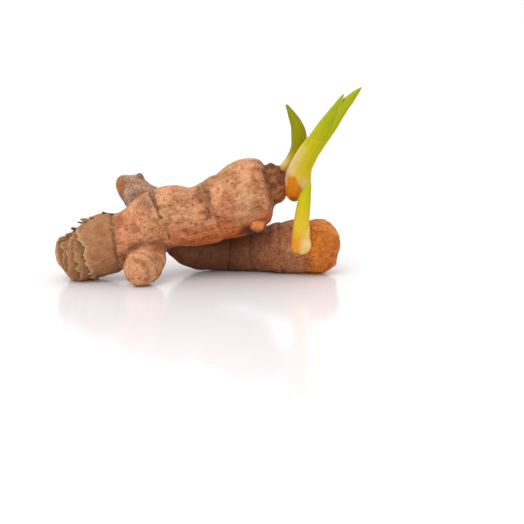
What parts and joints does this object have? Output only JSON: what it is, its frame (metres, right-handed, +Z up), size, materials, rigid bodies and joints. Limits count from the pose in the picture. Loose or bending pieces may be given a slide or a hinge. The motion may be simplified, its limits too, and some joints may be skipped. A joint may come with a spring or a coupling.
{
  "type": "turmeric root",
  "caption": "Fresh sprouting turmeric root: a ringed, knobbly rhizome lying on its fingers, with young green shoots rising from its thick end and lower finger.",
  "frame": {"origin": "on the ground, under the middle of the whole root's box", "axes": "+Z up, +X along the root towards its thick sprouting end, the picture's view looks along +Y"},
  "size_m": [0.115, 0.0438, 0.0718],
  "materials": {
    "rhizome_skin": "matt corky skin, pinkish tan, with darker node rings",
    "shoot_leaf": "satin young leaf, cream at the foot, yellow green to green above"
  },
  "bodies": {
    "root": {"rhizome": "rhizome_skin", "tall_shoot": "shoot_leaf", "short_shoot": "shoot_leaf", "lower_shoot": "shoot_leaf"}
  },
  "joints": []
}
